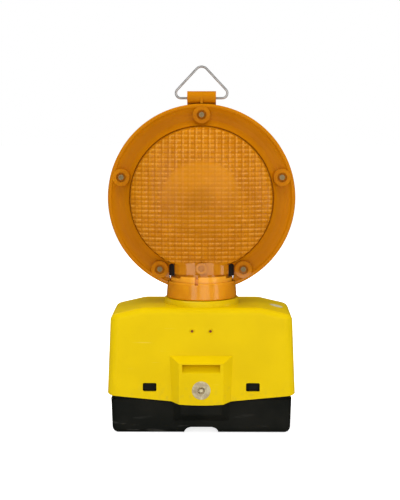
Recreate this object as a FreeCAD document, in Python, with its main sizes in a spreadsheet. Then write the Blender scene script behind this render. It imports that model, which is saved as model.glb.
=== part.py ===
import FreeCAD, Part
import math
import os
import re
import Sketcher
from FreeCAD import Placement, Rotation, Vector

# Barricade warning light: a black battery tub, a yellow hood that lifts off it, and an amber
# lens head that swivels on the hood. The frame has its origin under the neck, on the ground
# plane, with the front towards -Y and +Z up. All sizes are in millimetres.

doc = FreeCAD.newDocument("warning_light")
sheet = doc.addObject("Spreadsheet::Sheet", "Sizes")

DRIVING_SIZES = {
    # battery tub
    "tub_half_width": 87.4,
    "tub_half_depth": 42.6,
    "tub_shoulder_height": 34,
    "tub_rim_height": 70,
    "tub_rim_half_width": 87.2,
    "tub_rim_half_depth": 42.2,
    "tub_wall": 2.6,
    "tub_draft_angle": 2,
    "tub_edge_radius": 6,
    "channel_height": 6.2,
    "channel_half_width": 10.9,
    # hood
    "hood_foot": 29.5,
    "hood_top": 124,
    "hood_half_width": 92.3,
    "hood_half_depth": 47.3,
    "hood_draft_angle": 2.3,
    "hood_wall": 2.6,
    "hood_edge_radius": 7,
    "hood_corner_radius": 9,
    "knee_radius": 30,
    "shoulder_start": 58,
    "shoulder_slope_angle": 13.2,
    "sill_side_height": 38.6,
    "sill_pad_height": 33,
    "sill_front_height": 31.2,
    "sill_centre_radius": 242,
    # raised grip pad, the same on the front and the rear
    "pad_reach": 54,
    "pad_half_width": 21.6,
    "pad_outer_half_width": 30,
    "pad_ridge_height": 71.4,
    "pad_facet_rise": 5.4,
    "grip_half_width": 18.4,
    "grip_foot_height": 62,
    "grip_depth": 8,
    # windows, dimples and sensor
    "window_inner": 43.7,
    "window_outer": 57.1,
    "window_foot": 42.4,
    "window_head": 50.9,
    "dimple_offset": 9,
    "dimple_height": 101.4,
    "sensor_offset": 75,
    "sensor_radius": 6.5,
    # swivel
    "boss_top": 129.5,
    "boss_radius": 36.5,
    "spigot_radius": 20,
    "spigot_bore": 16.5,
    "spigot_top": 140.5,
    # collar and neck
    "collar_foot": 130,
    "collar_top": 146.5,
    "collar_radius": 35,
    "neck_radius": 27,
    "neck_bore": 24,
    "neck_foot": 134.2,
    "ring_radius": 31.5,
    "ring_top": 152.4,
    "ring_groove": 1.1,
    "neck_head_foot": 154.2,
    "neck_head_top": 166.3,
    "neck_head_half_width": 26,
    "neck_head_reach": 25.9,
    "neck_head_curve": 52,
    "neck_upper_bore": 22,
    "neck_bore_top": 177,
    "cradle_foot": 150,
    "cradle_height": 3,
    "neck_boss_height": 161,
    "neck_boss_reach": 28.4,
    # lens head
    "head_height": 228.7,
    "disc_radius": 93,
    "lens_radius": 70.4,
    "lens_depth": 36,
    "seam_half_gap": 0.4,
    "boss_face": 8.4,
    "screw_circle_radius": 82.3,
    # hanger
    "lug_half_width": 14.2,
    "lug_radius": 6,
    "lug_height": 328,
    "hanger_axis_height": 327.1,
    "hanger_wire_radius": 1.15,
    "hanger_apex_height": 358,
    "hanger_corner_reach": 31.9,
    "hanger_corner_radius": 5,
    "hanger_apex_radius": 6.8,
    # lock
    "lock_height": 45,
    "lock_radius": 9,
    "lock_barrel_radius": 7.5,
    "lock_core_radius": 5.5,
    "tongue_reach": 13,
    "recess_half_width": 21.5,
    "recess_face": 37,
    "recess_floor": 30,
    # batteries and the electronics
    "battery_side": 67,
    "battery_gap": 2,
    "battery_foot": 9,
    "battery_top": 108.5,
    "spring_top": 116.2,
    "carrier_foot": 117,
    "carrier_top": 119,
    "carrier_half_length": 56,
    "carrier_half_width": 40,
    "board_front": 39.2,
    "board_back": 37.6,
}

for row, (alias, value) in enumerate(DRIVING_SIZES.items(), start=1):
    sheet.set(f"A{row}", alias.replace("_", " "))
    sheet.set(f"B{row}", str(value))
    sheet.setAlias(f"B{row}", alias)
doc.recompute()


# ---------------------------------------------------------------- helpers


def bound(formula):
    """Return a formula with every driving size written as a reference to the sheet."""
    return re.sub(
        r"[a-z]+(?:_[a-z]+)+",
        lambda match: f"Sizes.{match.group()}" if match.group() in DRIVING_SIZES else match.group(),
        str(formula),
    )


def bind(item, prop, formula):
    """Drive a property from the sheet."""
    item.setExpression(prop, bound(formula))


def size(formula):
    """Return a formula's present value, for shapes that are worked out in code."""
    return float(getattr(sheet, formula)) if formula in DRIVING_SIZES else float(formula)


def value_of(formula):
    """Work out a formula of driving sizes through the document's own expression engine."""
    result = sheet.evalExpression(bound(formula).replace("Sizes.", ""))
    return float(getattr(result, "Value", result))


def move_to(item, x, y, z):
    """Bind the place of an item."""
    bind(item, "Placement.Base.x", x)
    bind(item, "Placement.Base.y", y)
    bind(item, "Placement.Base.z", z)


def block(name, x, y, z):
    """Make a box from pairs of low and high formulas along each axis."""
    box = doc.addObject("Part::Box", name)
    bind(box, "Length", f"({x[1]}) - ({x[0]})")
    bind(box, "Width", f"({y[1]}) - ({y[0]})")
    bind(box, "Height", f"({z[1]}) - ({z[0]})")
    move_to(box, x[0], y[0], z[0])
    return box


TURN_TO_AXIS = {
    "X": Rotation(Vector(0, 1, 0), 90),
    "Y": Rotation(Vector(1, 0, 0), -90),
    "Z": Rotation(),
}


def rod(name, radius, start, length, axis="Z"):
    """Make a cylinder that runs from its start point along +X, +Y or +Z."""
    cylinder = doc.addObject("Part::Cylinder", name)
    bind(cylinder, "Radius", radius)
    bind(cylinder, "Height", length)
    cylinder.Placement = Placement(Vector(), TURN_TO_AXIS[axis])
    move_to(cylinder, *start)
    return cylinder


def cone(name, radius_start, radius_end, start, length, axis="Z"):
    """Make a cone frustum that runs from its start point along an axis."""
    frustum = doc.addObject("Part::Cone", name)
    bind(frustum, "Radius1", radius_start)
    bind(frustum, "Radius2", radius_end)
    bind(frustum, "Height", length)
    frustum.Placement = Placement(Vector(), TURN_TO_AXIS[axis])
    move_to(frustum, *start)
    return frustum


def taper(name, near, far, y_near, y_far):
    """Make a wedge whose end faces, each (x low, x high, z low, z high), lie at two depths."""
    wedge = doc.addObject("Part::Wedge", name)
    wedge_sizes = {
        "Xmin": near[0], "Xmax": near[1], "Zmin": near[2], "Zmax": near[3],
        "X2min": far[0], "X2max": far[1], "Z2min": far[2], "Z2max": far[3],
        "Ymin": y_near, "Ymax": y_far,
    }
    wedge.Ymin = value_of(y_near)
    wedge.Ymax = value_of(y_far)
    for prop, formula in wedge_sizes.items():
        bind(wedge, prop, formula)
    return wedge


def union(name, parts):
    """Fuse several solids into one."""
    fused = doc.addObject("Part::MultiFuse", name)
    fused.Shapes = parts
    return fused


def overlap(name, parts):
    """Keep what several solids have in common."""
    shared = doc.addObject("Part::MultiCommon", name)
    shared.Shapes = parts
    return shared


def cut(name, base, tools):
    """Cut one or more solids from a base."""
    result = doc.addObject("Part::Cut", name)
    result.Base = base
    result.Tool = tools[0] if len(tools) == 1 else union(f"{name}_tools", tools)
    return result


def group(name, parts):
    """Keep separate solids together as one node."""
    compound = doc.addObject("Part::Compound", name)
    compound.Links = parts
    return compound


def rounded(name, base, picks, radius):
    """Round the edges of a solid for which picks(edge) is true."""
    doc.recompute()
    chosen = [number for number, edge in enumerate(base.Shape.Edges, start=1) if picks(edge)]
    fillet = doc.addObject("Part::Fillet", name)
    fillet.Base = base
    fillet.Edges = [(number, size(radius), size(radius)) for number in chosen]
    return fillet


def runs_along(edge, axis):
    """Tell whether a straight edge is parallel to an axis."""
    if len(edge.Vertexes) != 2 or edge.Curve.TypeId != "Part::GeomLine":
        return False
    direction = (edge.Vertexes[1].Point - edge.Vertexes[0].Point).normalize()
    return abs(abs(direction.dot(axis)) - 1) < 1e-6


def new_body(name):
    return doc.addObject("PartDesign::Body", name)


def arc_middle(start, end, radius, side):
    """Return the middle point of an arc that bulges to one side of its chord."""
    chord = end - start
    half = chord.Length / 2
    rise = radius - math.sqrt(max(radius * radius - half * half, 0))
    across = Vector(-chord.y, chord.x, 0).normalize()
    return (start + end) * 0.5 + across * rise * side


def outline(owner, name, plane, corners):
    """Draw a closed outline on one of a body's origin planes, bound to the sheet.

    A corner is (x, y), reached by a line, or (x, y, radius, side), reached by an arc that
    bulges to the left (1) or the right (-1) of the way there.
    """
    sketch = owner.newObject("Sketcher::SketchObject", name)
    support = next(item for item in owner.Origin.OriginFeatures if item.Role == plane)
    sketch.AttachmentSupport = [(support, "")]
    sketch.MapMode = "FlatFace"
    points = [Vector(value_of(corner[0]), value_of(corner[1]), 0) for corner in corners]
    ends = []
    for number, corner in enumerate(corners):
        start, end = points[number - 1], points[number]
        if len(corner) == 2:
            ends.append((sketch.addGeometry(Part.LineSegment(start, end), False), 1, 2))
            continue
        middle = arc_middle(start, end, value_of(corner[2]), corner[3])
        arc = sketch.addGeometry(Part.Arc(start, middle, end), False)
        ends.append((arc, 2, 1) if corner[3] > 0 else (arc, 1, 2))
        radius = sketch.addConstraint(Sketcher.Constraint("Radius", arc, value_of(corner[2])))
        sketch.setExpression(f"Constraints[{radius}]", bound(corner[2]))
    for number, corner in enumerate(corners):
        edge, _, last = ends[number]
        following, first, _ = ends[(number + 1) % len(corners)]
        sketch.addConstraint(Sketcher.Constraint("Coincident", edge, last, following, first))
        for way, formula in (("DistanceX", corner[0]), ("DistanceY", corner[1])):
            place = sketch.addConstraint(Sketcher.Constraint(way, edge, last, value_of(formula)))
            sketch.setExpression(f"Constraints[{place}]", bound(formula))
    return sketch


def pad(owner, profile, length, draft="0", reverse=False, middle=False):
    feature = owner.newObject("PartDesign::Pad", f"{profile.Name}_pad")
    feature.Profile = profile
    bind(feature, "Length", length)
    bind(feature, "TaperAngle", draft)
    feature.Reversed = reverse
    feature.Midplane = middle
    return feature


def turned(owner, profile, axis):
    """Revolve a profile a full turn about its own horizontal or vertical axis."""
    feature = owner.newObject("PartDesign::Revolution", f"{profile.Name}_turn")
    feature.Profile = profile
    feature.ReferenceAxis = (profile, [axis])
    feature.Angle = 360
    return feature


def rectangle(half_x, half_y):
    return [
        (f"-({half_x})", f"-({half_y})"),
        (half_x, f"-({half_y})"),
        (half_x, half_y),
        (f"-({half_x})", half_y),
    ]


def drafted_box(name, half_x, half_y, foot, top, draft):
    """Pad a rectangle upwards with a draft angle, positive where it widens."""
    owner = new_body(name)
    plan = outline(owner, f"{name}_plan", "XY_Plane", rectangle(half_x, half_y))
    pad(owner, plan, f"({top}) - ({foot})", draft)
    move_to(owner, 0, 0, foot)
    return owner


def prism(name, plane, corners, length):
    """Pad an outline evenly to both sides of its plane."""
    owner = new_body(name)
    profile = outline(owner, f"{name}_outline", plane, corners)
    pad(owner, profile, length, middle=True)
    return owner


def ring(name, outer, inner, foot, height):
    """Make a flat ring about the neck axis."""
    return cut(
        name,
        rod(f"{name}_disc", outer, (0, 0, foot), height),
        [rod(f"{name}_hole", inner, (0, 0, f"({foot}) - 1"), f"({height}) + 2")],
    )


def screw(name, head, shank, tip_to_seat, seat, axis="Y", sense=1, slot=0.9):
    """Make a cross-head screw; head is (radius, height) and the shank runs along the sense."""
    head_radius, head_height = head
    x, y, z = seat
    ahead = {"Y": (0, sense, 0), "Z": (0, 0, sense)}[axis]
    drop = head_height if sense > 0 else 0
    back = tip_to_seat if sense < 0 else 0
    head_start = [f"({c}) - {abs(a)} * {drop}" for c, a in zip(seat, ahead)]
    shank_start = [f"({c}) - {abs(a)} * {back}" for c, a in zip(seat, ahead)]
    solid = union(f"{name}_blank", [
        rod(f"{name}_head", head_radius, head_start, head_height, axis),
        rod(f"{name}_shank", shank, shank_start, tip_to_seat, axis),
    ])
    reach, width = head_radius * 0.62, slot / 2
    crossed = []
    for label, half_a, half_b in (("a", reach, width), ("b", width, reach)):
        if axis == "Y":
            face = f"({y}) - {sense * head_height}"
            deep = (f"{face} - 0.7", f"{face} + 0.7")
            crossed.append(block(
                f"{name}_slot_{label}",
                (f"({x}) - {half_a}", f"({x}) + {half_a}"), deep,
                (f"({z}) - {half_b}", f"({z}) + {half_b}"),
            ))
        else:
            face = f"({z}) - {sense * head_height}"
            deep = (f"{face} - 0.7", f"{face} + 0.7")
            crossed.append(block(
                f"{name}_slot_{label}",
                (f"({x}) - {half_a}", f"({x}) + {half_a}"),
                (f"({y}) - {half_b}", f"({y}) + {half_b}"), deep,
            ))
    return cut(name, solid, crossed)


def bent_wire(points, radius, closed=False):
    """Join points by straight runs with an arc of a given radius at each bend."""
    count = len(points)
    bends = range(count) if closed else range(1, count - 1)
    edges, cursor, first = [], None if closed else points[0], None
    for number in bends:
        corner = points[number]
        bend = radius[number] if isinstance(radius, (list, tuple)) else radius
        before = (points[number - 1] - corner).normalize()
        after = (points[(number + 1) % count] - corner).normalize()
        half_angle = before.getAngle(after) / 2
        reach = bend / math.tan(half_angle)
        start, end = corner + before * reach, corner + after * reach
        inward = (before + after).normalize()
        middle = corner + inward * (bend / math.sin(half_angle) - bend)
        if cursor is not None and (start - cursor).Length > 1e-6:
            edges.append(Part.LineSegment(cursor, start).toShape())
        edges.append(Part.Arc(start, middle, end).toShape())
        first = first or start
        cursor = end
    last = first if closed else points[-1]
    edges.append(Part.LineSegment(cursor, last).toShape())
    return Part.Wire(edges)


def swept(path, radius):
    """Sweep a round section along a wire."""
    edge = path.OrderedEdges[0]
    start = edge.valueAt(edge.FirstParameter)
    tangent = edge.tangentAt(edge.FirstParameter)
    section = Part.Wire(Part.makeCircle(radius, start, tangent))
    return path.makePipeShell([section], True, False)


def shaped(name, solids):
    """Hold solids that were worked out in code."""
    feature = doc.addObject("Part::Feature", name)
    feature.Shape = solids[0] if len(solids) == 1 else Part.makeCompound(solids)
    return feature


# ---------------------------------------------------------------- battery tub


def grip_pad(name, side, inset, foot, ridge, rise):
    """A raised pad with slanted flanks on the front (-1) or the rear (1)."""
    face = f"pad_reach - {inset}"
    root = "tub_rim_half_depth - 3"
    run = f"(({face}) - ({root}))"
    flank = f"{run} * (pad_outer_half_width - pad_half_width) / 8"
    near = (f"-(pad_half_width - {inset} * 0.5)", f"pad_half_width - {inset} * 0.5",
            foot[0], ridge)
    far = (f"-(pad_half_width - {inset} * 0.5 + {flank})",
           f"pad_half_width - {inset} * 0.5 + {flank}", foot[1], f"{ridge} + {run} * {rise}")
    if side < 0:
        return taper(name, near, far, f"-({face})", f"-({root})")
    return taper(name, far, near, root, face)


def build_tub():
    """Black moulded tub: channel under it, ribs inside, a recess for the lock at the front."""
    lower = drafted_box("tub_lower", "tub_half_width", "tub_half_depth", 0,
                        "tub_shoulder_height", "tub_draft_angle")
    upper = drafted_box("tub_upper", "tub_rim_half_width", "tub_rim_half_depth",
                        "tub_shoulder_height - 6", "tub_rim_height", 0)
    shell = union("tub_shell", [lower, upper])
    upright = rounded("tub_upright_edges", lower, is_upright, "tub_edge_radius")
    footed = rounded("tub_foot_edges", upright, lambda edge: edge.BoundBox.ZMax < 0.01,
                     "tub_edge_radius")
    rim = rounded("tub_rim_edges", upper, is_upright, "tub_edge_radius")
    shell.Shapes = [footed, rim]

    pads = [
        grip_pad(f"tub_pad_{word}", side, 3.6, ("20", "9"), "33", 0)
        for word, side in (("front", -1), ("rear", 1))
    ]
    cavity = block(
        "tub_cavity",
        ("-(tub_rim_half_width - tub_wall)", "tub_rim_half_width - tub_wall"),
        ("-(tub_rim_half_depth - tub_wall)", "tub_rim_half_depth - tub_wall"),
        ("tub_wall", "tub_rim_height + 1"),
    )
    rounded_cavity = rounded("tub_cavity_edges", cavity,
                             lambda edge: runs_along(edge, Vector(0, 0, 1)), 3.5)
    hollow = cut("tub_hollow", union("tub_outside", [shell] + pads), [rounded_cavity])

    inner_x = "tub_rim_half_width - tub_wall"
    inner_y = "tub_rim_half_depth - tub_wall"
    battery_far = "battery_gap / 2 + battery_side"
    fillings = [
        block("tub_channel_cover", ("-19.3", "19.3"), (f"-({inner_y})", inner_y),
              ("tub_wall - 0.1", "channel_height + tub_wall")),
        block("tub_lock_wall", ("-(recess_half_width + 2.4)", "recess_half_width + 2.4"),
              ("-tub_rim_half_depth", "-(recess_face - 2.4)"),
              ("recess_floor - 2.6", "tub_rim_height")),
    ]
    for side in (-1, 1):
        word = "left" if side < 0 else "right"
        for number, place in enumerate((-25, 0, 25)):
            ends = ("20", "66") if side > 0 else ("-66", "-20")
            fillings.append(block(f"tub_floor_rib_{word}_{number}", ends,
                                  (f"{place} - 1.2", f"{place} + 1.2"),
                                  ("tub_wall - 0.1", "battery_foot - 0.1")))
        for number, place in enumerate((-22, 22)):
            near, far = f"{battery_far} + 0.7", f"{inner_x} + 0.1"
            ends = (near, far) if side > 0 else (f"-({far})", f"-({near})")
            fillings.append(block(f"tub_side_rib_{word}_{number}", ends,
                                  (f"{place} - 1.2", f"{place} + 1.2"), ("tub_wall - 0.1", "60")))
        for number, (front, place) in enumerate(((-1, 50), (1, 22), (1, 50))):
            near, far = "battery_side / 2 + 0.7", f"{inner_y} + 0.1"
            ends = (near, far) if front > 0 else (f"-({far})", f"-({near})")
            fillings.append(block(f"tub_wall_rib_{word}_{number}",
                                  (f"{side * place} - 1.2", f"{side * place} + 1.2"), ends,
                                  ("tub_wall - 0.1", "60")))
        x_low = "window_inner + 1.2" if side > 0 else "-(window_outer - 1.2)"
        x_high = "window_outer - 1.2" if side > 0 else "-(window_inner + 1.2)"
        fillings.append(block(f"tub_window_pad_{word}", (x_low, x_high),
                              ("-(tub_rim_half_depth + 1.2)", "-(tub_rim_half_depth - 0.5)"),
                              ("window_foot + 1.1", "window_head - 1.1")))
    filled = union("tub_filled", [hollow] + fillings)

    recess = block("tub_recess", ("-recess_half_width", "recess_half_width"),
                   ("-60", "-recess_face"), ("sill_pad_height + 0.01", "tub_rim_height + 1"))
    tongue_well = block("tub_tongue_well", ("-recess_half_width", "recess_half_width"),
                        ("-43", "-recess_face"), ("recess_floor", "tub_rim_height"))
    flare = "channel_height - 0.4"
    channel = prism("tub_channel", "XZ_Plane", [
        ("-channel_half_width", "channel_height"),
        ("-channel_half_width", flare),
        (f"-channel_half_width - ({flare})", "0", flare, -1),
        (f"-channel_half_width - ({flare})", "-1"),
        (f"channel_half_width + {flare}", "-1"),
        (f"channel_half_width + {flare}", "0"),
        ("channel_half_width", flare, flare, -1),
        ("channel_half_width", "channel_height"),
    ], "3 * tub_half_depth")
    rivet_holes = [
        rod(f"tub_rivet_hole_{place}", 1.5, (place, "-(recess_face + 1)", 57), 6, "Y")
        for place in (10, 16)
    ]
    return cut("tub_part", filled, [recess, tongue_well, channel] + rivet_holes)


def is_upright(edge):
    """Tell whether an edge of a plain block climbs from its foot to its top."""
    return edge.BoundBox.ZLength > 20


def build_strike():
    """Bent steel ledge riveted to the recess wall; the lock tongue turns in below it."""
    plate = union("strike_part", [
        block("strike_leg", (7, 19), ("-(recess_face + 1.2)", "-recess_face"), (49.5, 62)),
        block("strike_ledge", (8, 18), ("-(recess_face + 5.2)", "-recess_face"), (49.5, 51)),
    ])
    holes = [
        rod(f"strike_hole_{place}", 1.5, (place, "-(recess_face + 2)", 57), 3, "Y")
        for place in (10, 16)
    ]
    rivets = []
    for place in (10, 16):
        rivets.append(union(f"rivet_{place}", [
            rod(f"rivet_{place}_head", 2.4, (place, "-(recess_face + 2.2)", 57), 1, "Y"),
            rod(f"rivet_{place}_shank", 1.5, (place, "-(recess_face + 1.2)", 57), 3.6, "Y"),
        ]))
    return cut("strike_holed", plate, holes), group("rivets", rivets)


def build_battery(word, side):
    """Square block battery: the case, and the cap that closes it."""
    near, far = "battery_gap / 2", "battery_gap / 2 + battery_side"
    ends = (near, far) if side > 0 else (f"-({far})", f"-({near})")
    case = block(f"case_{word}", ends, ("-battery_side / 2", "battery_side / 2"),
                 ("battery_foot", "battery_top - 2"))
    cap_ends = (f"{ends[0]} + 1", f"{ends[1]} - 1")
    cap = block(f"cap_{word}", cap_ends, ("-battery_side / 2 + 1", "battery_side / 2 - 1"),
                ("battery_top - 2", "battery_top"))

    def upright(edge):
        return runs_along(edge, Vector(0, 0, 1))

    return (rounded(f"case_{word}_round", case, upright, 8),
            rounded(f"cap_{word}_round", cap, upright, 7))


def spring_places():
    """Each battery has one spring in the middle and one near its outer rear corner."""
    middle = value_of("battery_gap / 2 + battery_side / 2")
    return [(side * (middle + shift), shift) for side in (-1, 1) for shift in (0, 21)]


def build_springs():
    """Conical battery springs, wound from a wide foot coil to a narrow top coil."""
    wire, turns, steps = 0.6, 3.5, 12
    foot, top = size("battery_top") + wire + 0.02, size("spring_top") - wire
    springs = []
    for x, y in spring_places():
        points = []
        for step in range(int(turns * steps) + 1):
            share = step / (turns * steps)
            angle = math.radians(360 * turns * share)
            coil = 6.2 - 2.4 * share
            points.append(Vector(x + coil * math.cos(angle), y + coil * math.sin(angle),
                                 foot + (top - foot) * share))
        curve = Part.BSplineCurve()
        curve.interpolate(points)
        springs.append(swept(Part.Wire(curve.toShape()), wire))
    return shaped("spring_group", springs)


# ---------------------------------------------------------------- hood


def hood_block(name, inset):
    """The hood's rounded and drafted block; the inset one is its cavity."""
    block_body = drafted_box(f"{name}_block", f"hood_half_width - {inset}",
                             f"hood_half_depth - {inset}", f"hood_foot - {inset} * 2",
                             f"hood_top - {inset}", "-hood_draft_angle")
    knee = f"shoulder_start - {inset} * 0.12"
    wedges = []
    for word, side in (("left", "-1"), ("right", "1")):
        wedges.append(prism(f"{name}_shoulder_{word}", "XZ_Plane", [
            (f"{side} * ({knee})", f"hood_top - {inset}"),
            (f"{side} * 110", f"hood_top - {inset} - (110 - ({knee})) * tan(shoulder_slope_angle * 1deg)"),
            (f"{side} * 110", "hood_top + 10"),
            (f"{side} * ({knee})", "hood_top + 10"),
        ], "4 * hood_half_depth"))
    shouldered = cut(f"{name}_shouldered", block_body, wedges)

    def is_knee(edge):
        return edge.BoundBox.YLength > 70 and abs(abs(edge.CenterOfMass.x) - value_of(knee)) < 1

    def is_corner(edge):
        return edge.BoundBox.ZLength > 50 and edge.BoundBox.XLength < 10

    def is_roof_edge(edge):
        box = edge.BoundBox
        high = box.ZMin > value_of("hood_top") - inset - 15
        return high and (box.YLength < 12 or abs(edge.CenterOfMass.x) > 75)

    kneed = rounded(f"{name}_knees", shouldered, is_knee, "knee_radius")
    upright = rounded(f"{name}_corners", kneed, is_corner, size("hood_corner_radius") - inset)
    return rounded(f"{name}_roof", upright, is_roof_edge, size("hood_edge_radius") - inset)


def grip_wedge(name, side, wall):
    """The finger recess: deep under the ridge, running out to nothing at its foot."""
    face = "pad_reach + 1"
    deep = f"pad_reach - grip_depth - {wall}"
    top = f"pad_ridge_height - 1.1 + {wall}"
    foot = f"grip_foot_height - {wall} * 1.4"
    x_deep, x_face = f"{side} * ({deep})", f"{side} * ({face})"
    foot_at_face = f"{foot} - (({top}) - ({foot})) / grip_depth"
    return prism(name, "YZ_Plane", [
        (x_face, foot_at_face), (x_deep, f"{top} - 1.5"), (x_deep, top), (x_face, top),
    ], f"2 * (grip_half_width + {wall})")


def sill_cut():
    """Everything below the hood's lower edge, which dips towards the middle."""
    corner = 3
    return prism("hood_sill", "XZ_Plane", [
        ("-pad_half_width", "sill_front_height", "sill_centre_radius", 1),
        ("-pad_outer_half_width", "sill_pad_height"),
        (f"-hood_half_width + {corner}", "sill_side_height"),
        ("-hood_half_width - 3", f"sill_side_height + {corner}"),
        ("-hood_half_width - 3", "hood_foot - 30"),
        ("hood_half_width + 3", "hood_foot - 30"),
        ("hood_half_width + 3", f"sill_side_height + {corner}"),
        (f"hood_half_width - {corner}", "sill_side_height"),
        ("pad_outer_half_width", "sill_pad_height"),
        ("pad_half_width", "sill_front_height"),
    ], "3 * hood_half_depth")


def shoulder_rod(name, radius, depth, length):
    """A cylinder square to the right shoulder; depth is its top's height above the surface."""
    lean = size("shoulder_slope_angle")
    surface = "hood_top - (sensor_offset - shoulder_start) * tan(shoulder_slope_angle * 1deg)"
    low = depth - length
    cylinder = doc.addObject("Part::Cylinder", name)
    bind(cylinder, "Radius", radius)
    cylinder.Height = length
    cylinder.Placement = Placement(Vector(), Rotation(Vector(0, 1, 0), lean))
    move_to(cylinder, f"sensor_offset + {low} * sin(shoulder_slope_angle * 1deg)", 0,
            f"{surface} + {low} * cos(shoulder_slope_angle * 1deg)")
    return cylinder


CARRIER_SCREWS = [(-50, -37), (50, -37), (-50, 37), (50, 37)]
BOARD_SCREWS = [(-26, 90), (26, 90)]


def build_hood():
    """Yellow moulded hood with its grip pads, windows, neck boss and spigot."""
    outside = [hood_block("hood_outside", 0)]
    outside += [
        grip_pad(f"hood_pad_{word}", side, 0, ("20", "20"), "pad_ridge_height",
                 "pad_facet_rise / 7.5")
        for word, side in (("front", -1), ("rear", 1))
    ]
    outside.append(cone("neck_boss", "boss_radius + 1.2", "boss_radius", (0, 0, "hood_top - 1"),
                        "boss_top - hood_top + 1"))
    inside = [hood_block("hood_inside", size("hood_wall"))]
    inside += [
        grip_pad(f"hood_pad_inside_{word}", side, size("hood_wall"), ("10", "10"),
                 "pad_ridge_height - 1.6", "pad_facet_rise / 7.5")
        for word, side in (("front", -1), ("rear", 1))
    ]
    shell = cut("hood_shell", union("hood_solid", outside), inside + [sill_cut()])

    fillings = [rod("spigot", "spigot_radius", (0, 0, "hood_top - 3"), "spigot_top - hood_top + 3"),
                block("spigot_stop", (-2.2, 2.2), (-22.9, -18), (137, "spigot_top - 0.5"))]
    for word, side in (("front", -1), ("rear", 1)):
        fillings.append(overlap(f"grip_backing_{word}", [
            grip_wedge(f"grip_backing_wedge_{word}", side, 2.2),
            grip_pad(f"grip_backing_limit_{word}", side, 0.4, ("20", "20"),
                     "pad_ridge_height - 0.4", "pad_facet_rise / 7.5"),
        ]))
    for number, (x, y) in enumerate(CARRIER_SCREWS):
        fillings.append(rod(f"carrier_boss_{number}", 3.4, (x, y, "carrier_top"),
                            "hood_top - 1.5 - carrier_top"))
    for number, (x, z) in enumerate(BOARD_SCREWS):
        fillings.append(rod(f"board_boss_{number}", 3, (x, -44, z), "44 - board_front", "Y"))

    openings = [
        rod("spigot_hole", "spigot_bore", (0, 0, 110), 40),
        cut("seal_groove", rod("seal_groove_outer", 31.4, (0, 0, 127.2), 4),
            [rod("seal_groove_inner", 28.6, (0, 0, 127), 5)]),
        cut("snap_groove", rod("snap_groove_outer", 24, (0, 0, 133.95), 2.3),
            [rod("snap_groove_inner", 18.8, (0, 0, 133.9), 2.4)]),
        rod("lock_hole", "lock_barrel_radius + 0.05", (0, -60, "lock_height"), 15, "Y"),
        shoulder_rod("sensor_seat", "sensor_radius + 0.1", 2, 3.2),
        shoulder_rod("sensor_hole", 4.6, 0, 8),
    ]
    for word, side in (("front", -1), ("rear", 1)):
        openings.append(grip_wedge(f"grip_{word}", side, 0))
    for word, ends in (("left", ("-window_outer", "-window_inner")),
                       ("right", ("window_inner", "window_outer"))):
        window = block(f"window_{word}", ends, (-52, -40), ("window_foot", "window_head"))
        openings.append(rounded(f"window_{word}_round", window,
                                lambda edge: runs_along(edge, Vector(0, 1, 0)), 1.5))
        x = "-dimple_offset" if word == "left" else "dimple_offset"
        openings.append(cone(f"dimple_{word}", 4.6, 1.3, (x, -45.6, "dimple_height"), 2.4, "Y"))
        openings.append(rod(f"dimple_hole_{word}", 1.3, (x, -46, "dimple_height"), 8, "Y"))
    for number, (x, y) in enumerate(CARRIER_SCREWS):
        openings.append(rod(f"carrier_thread_{number}", 1.4, (x, y, "carrier_top - 1"), 4))
    for number, (x, z) in enumerate(BOARD_SCREWS):
        openings.append(rod(f"board_thread_{number}", 1.2, (x, -42.6, z), 6, "Y"))
    return cut("hood_part", union("hood_filled", [shell] + fillings), openings)


def build_carrier():
    """Plate under the hood's roof with its brass contacts, and the screws that hold it."""
    plate = block("carrier_plate", ("-carrier_half_length", "carrier_half_length"),
                  ("-carrier_half_width", "carrier_half_width"), ("carrier_foot", "carrier_top"))
    plate_round = rounded("carrier_plate_round", plate,
                          lambda edge: runs_along(edge, Vector(0, 0, 1)), 8)
    holes = [rod("carrier_lead_hole", 3.6, (0, 0, "carrier_foot - 1"), 4)]
    for number, (x, y) in enumerate(CARRIER_SCREWS):
        holes.append(rod(f"carrier_hole_{number}", 1.6, (x, y, "carrier_foot - 1"), 4))
    carrier = cut("carrier_part", plate_round, holes)
    leaves, studs = [], []
    for number, (x, y) in enumerate(spring_places()):
        leaves.append(block(f"contact_leaf_{number}", (x - 8, x + 8), (y - 8, y + 8),
                            ("carrier_foot - 0.5", "carrier_foot")))
    for number, (x, y) in enumerate(CARRIER_SCREWS):
        studs.append(screw(f"carrier_screw_{number}", (2.8, 1.6), 1.4, 5,
                           (x, y, "carrier_foot"), "Z"))
    return carrier, group("leaves", leaves), group("carrier_screw_group", studs)


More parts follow.
